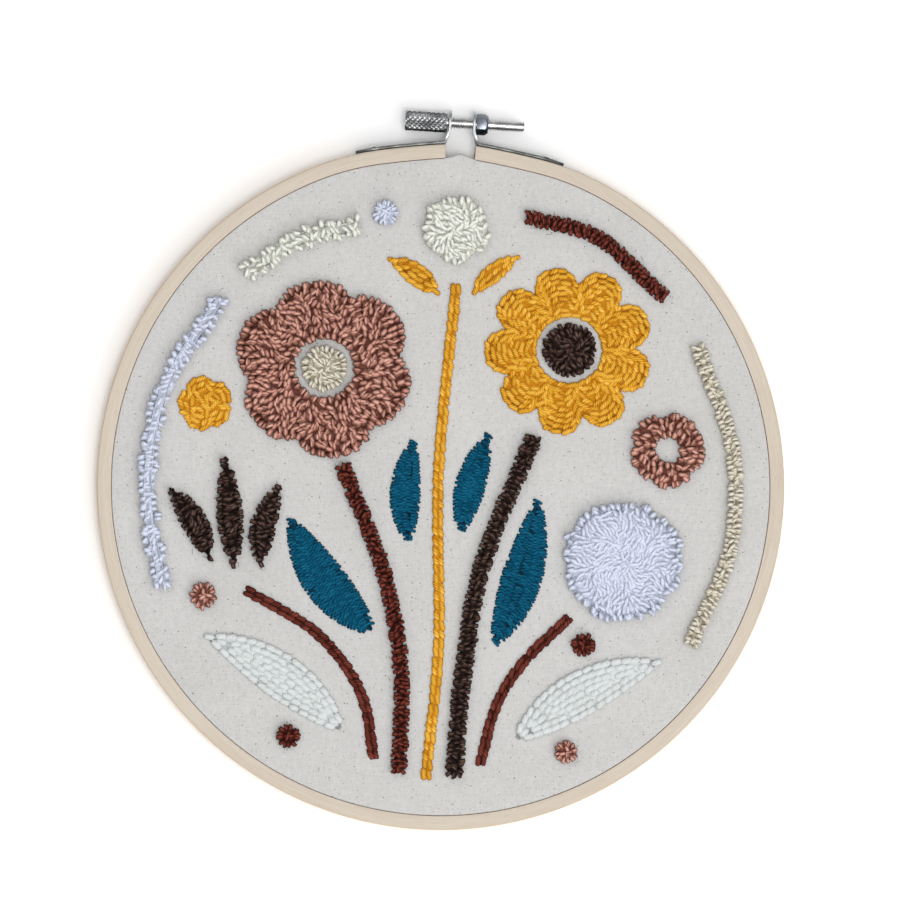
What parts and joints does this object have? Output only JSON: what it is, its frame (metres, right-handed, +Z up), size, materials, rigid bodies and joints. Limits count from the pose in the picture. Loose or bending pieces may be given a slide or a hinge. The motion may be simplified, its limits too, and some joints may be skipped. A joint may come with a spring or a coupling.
{
  "type": "embroidered cloth in a wooden embroidery hoop",
  "caption": "Loop-pile and flat-stitch bouquet on natural calico, held in a round wooden hoop with a steel tightening screw.",
  "frame": {"origin": "on the surface, under the middle of the whole object's box", "axes": "+Z up, out of the stitched face; +Y from the middle of the hoop towards the tightening screw; +X along the screw's rod, from its knurled head to its tip"},
  "size_m": [0.2116, 0.222, 0.014],
  "materials": {
    "outer_wood": "pale bare beech, lightly sanded",
    "inner_wood": "bare beech",
    "calico": "natural unbleached plain weave with seed flecks",
    "steel": "bright zinc-plated steel",
    "strap_steel": "dull plated sheet steel",
    "knurled_steel": "diamond-knurled plated steel",
    "rust": "plied yarn in flat stitches",
    "dark_brown": "plied yarn in loop pile",
    "mustard": "plied yarn in flat stitches",
    "lilac_white": "fluffy yarn in loop pile",
    "rose": "plied yarn in loop pile",
    "teal": "plied yarn in close short stitches",
    "cream": "plied yarn in loop pile",
    "mint_white": "plied yarn in flat stitches",
    "ivory": "plied yarn in loop pile",
    "red_brown": "plied yarn in loop pile"
  },
  "bodies": {
    "hoop": {"outer_ring": "outer_wood", "inner_ring": "inner_wood", "cloth": "calico", "strap_left": "strap_steel", "strap_right": "strap_steel", "nail_left": "steel", "nail_right": "steel", "nut": "steel", "tulip_stem": "rust", "rose_stem": "red_brown", "middle_stem": "mustard", "daisy_stem": "dark_brown", "pompom_stem": "rust", "left_blade": "lilac_white", "right_blade": "cream", "top_blade_left": "ivory", "top_blade_right": "red_brown", "teal_leaf_left": "teal", "teal_leaf_right": "teal", "mint_leaf_left": "mint_white", "mint_leaf_right": "mint_white", "tulip_petal_left": "dark_brown", "tulip_petal_middle": "dark_brown", "tulip_petal_right": "dark_brown", "rose_leaf": "teal", "daisy_leaf": "teal", "bud_leaf_left": "mustard", "bud_leaf_right": "mustard", "rose_petals": "rose", "rose_centre": "cream", "daisy_petals": "mustard", "daisy_centre": "dark_brown", "pompom": "lilac_white", "bud": "ivory", "left_blossom": "mustard", "right_blossom": "rose", "berry_low_left": "red_brown", "berry_low_right": "rose", "berry_left": "rose", "berry_right": "red_brown", "berry_top": "lilac_white"},
    "thumbscrew": {"knurled_head": "knurled_steel", "threaded_rod": "steel"}
  },
  "joints": [
    {"name": "thumbscrew_turn", "type": "hinge", "parent": "hoop", "child": "thumbscrew", "pos_m": [0, 0.10711, 0.005], "axis": [1, 0, 0], "continuous": true}
  ]
}
